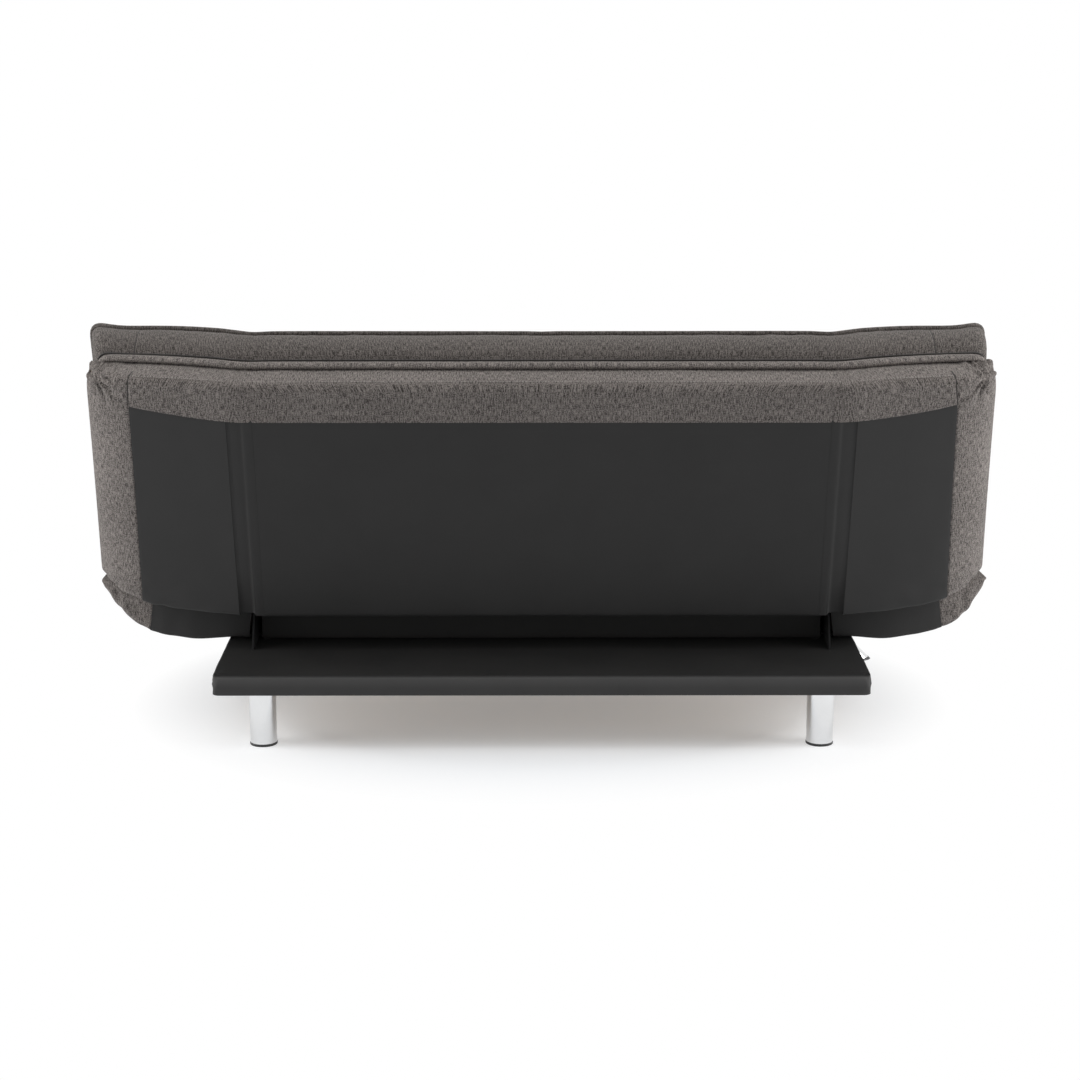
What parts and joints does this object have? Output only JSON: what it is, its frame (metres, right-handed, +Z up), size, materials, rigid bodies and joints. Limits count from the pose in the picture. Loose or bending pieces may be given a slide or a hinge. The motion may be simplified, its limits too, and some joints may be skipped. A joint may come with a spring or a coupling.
{
  "type": "click clack sofa bed",
  "caption": "Fabric click clack sofa bed with a piped pillow-top seat and back that fold flat, folding wings at both ends, a cloth-covered platform and chrome legs.",
  "frame": {"origin": "on the floor, under the middle of the whole sofa bed's outline with the back up", "axes": "+X to the sitter's left along the width, +Y from the front to the rear, +Z up"},
  "size_m": [1.8892, 0.8688, 0.8509],
  "materials": {
    "cover_fabric": "matte",
    "pad_fabric": "matte",
    "lining_cloth": "matte",
    "platform_cloth": "matte",
    "chrome": "polished",
    "steel": "satin",
    "timber": "matte",
    "glide_plastic": "matte"
  },
  "bodies": {
    "base": {"platform_cover": "platform_cloth", "platform_board": "timber", "platform_rear_rail": "timber", "platform_front_rail": "timber", "platform_left_rail": "timber", "platform_right_rail": "timber", "platform_middle_rail": "timber", "rear_left_leg": "chrome", "rear_left_glide": "glide_plastic", "rear_right_leg": "chrome", "rear_right_glide": "glide_plastic", "front_left_leg": "chrome", "front_left_glide": "glide_plastic", "front_right_leg": "chrome", "front_right_glide": "glide_plastic", "left_base_bracket": "steel", "left_pivot_bolt": "steel", "right_base_bracket": "steel", "right_pivot_bolt": "steel"},
    "seat": {"seat_cover": "cover_fabric", "seat_lining": "lining_cloth", "seat_slat_frame": "timber", "seat_pad": "pad_fabric", "seat_left_hinge_centre_leaf": "steel", "seat_left_arm": "steel", "seat_right_hinge_centre_leaf": "steel", "seat_right_arm": "steel"},
    "back": {"back_cover": "cover_fabric", "back_lining": "lining_cloth", "back_slat_frame": "timber", "back_pad": "pad_fabric", "back_left_hinge_centre_leaf": "steel", "back_left_arm": "steel", "back_right_hinge_centre_leaf": "steel", "back_right_arm": "steel"},
    "seat_left_wing": {"seat_left_wing_cover": "cover_fabric", "seat_left_wing_lining": "lining_cloth", "seat_left_wing_board": "timber", "seat_left_wing_pad": "pad_fabric", "seat_left_hinge_wing_leaf": "steel"},
    "seat_right_wing": {"seat_right_wing_cover": "cover_fabric", "seat_right_wing_lining": "lining_cloth", "seat_right_wing_board": "timber", "seat_right_wing_pad": "pad_fabric", "seat_right_hinge_wing_leaf": "steel"},
    "back_left_wing": {"back_left_wing_cover": "cover_fabric", "back_left_wing_lining": "lining_cloth", "back_left_wing_board": "timber", "back_left_wing_pad": "pad_fabric", "back_left_hinge_wing_leaf": "steel"},
    "back_right_wing": {"back_right_wing_cover": "cover_fabric", "back_right_wing_lining": "lining_cloth", "back_right_wing_board": "timber", "back_right_wing_pad": "pad_fabric", "back_right_hinge_wing_leaf": "steel"}
  },
  "joints": [
    {"name": "seat_lift", "type": "hinge", "parent": "base", "child": "seat", "pos_m": [0, 0.1705, 0.2605], "axis": [-1, 0, 0], "range_deg": [0, 60]},
    {"name": "back_fold", "type": "hinge", "parent": "seat", "child": "back", "pos_m": [0, 0.1705, 0.2605], "axis": [1, 0, 0], "range_deg": [-74, 4]},
    {"name": "seat_left_wing_fold", "type": "hinge", "parent": "seat", "child": "seat_left_wing", "pos_m": [0.613, 0, 0.2365], "axis": [0, -1, 0], "range_deg": [-8, 12]},
    {"name": "seat_right_wing_fold", "type": "hinge", "parent": "seat", "child": "seat_right_wing", "pos_m": [-0.613, 0, 0.2365], "axis": [0, 1, 0], "range_deg": [-8, 12]},
    {"name": "back_left_wing_fold", "type": "hinge", "parent": "back", "child": "back_left_wing", "pos_m": [0.613, 0.19357, 0.25389], "axis": [0, -0.2756, -0.9613], "range_deg": [-13, 7]},
    {"name": "back_right_wing_fold", "type": "hinge", "parent": "back", "child": "back_right_wing", "pos_m": [-0.613, 0.19357, 0.25389], "axis": [0, 0.2756, 0.9613], "range_deg": [-13, 7]}
  ]
}
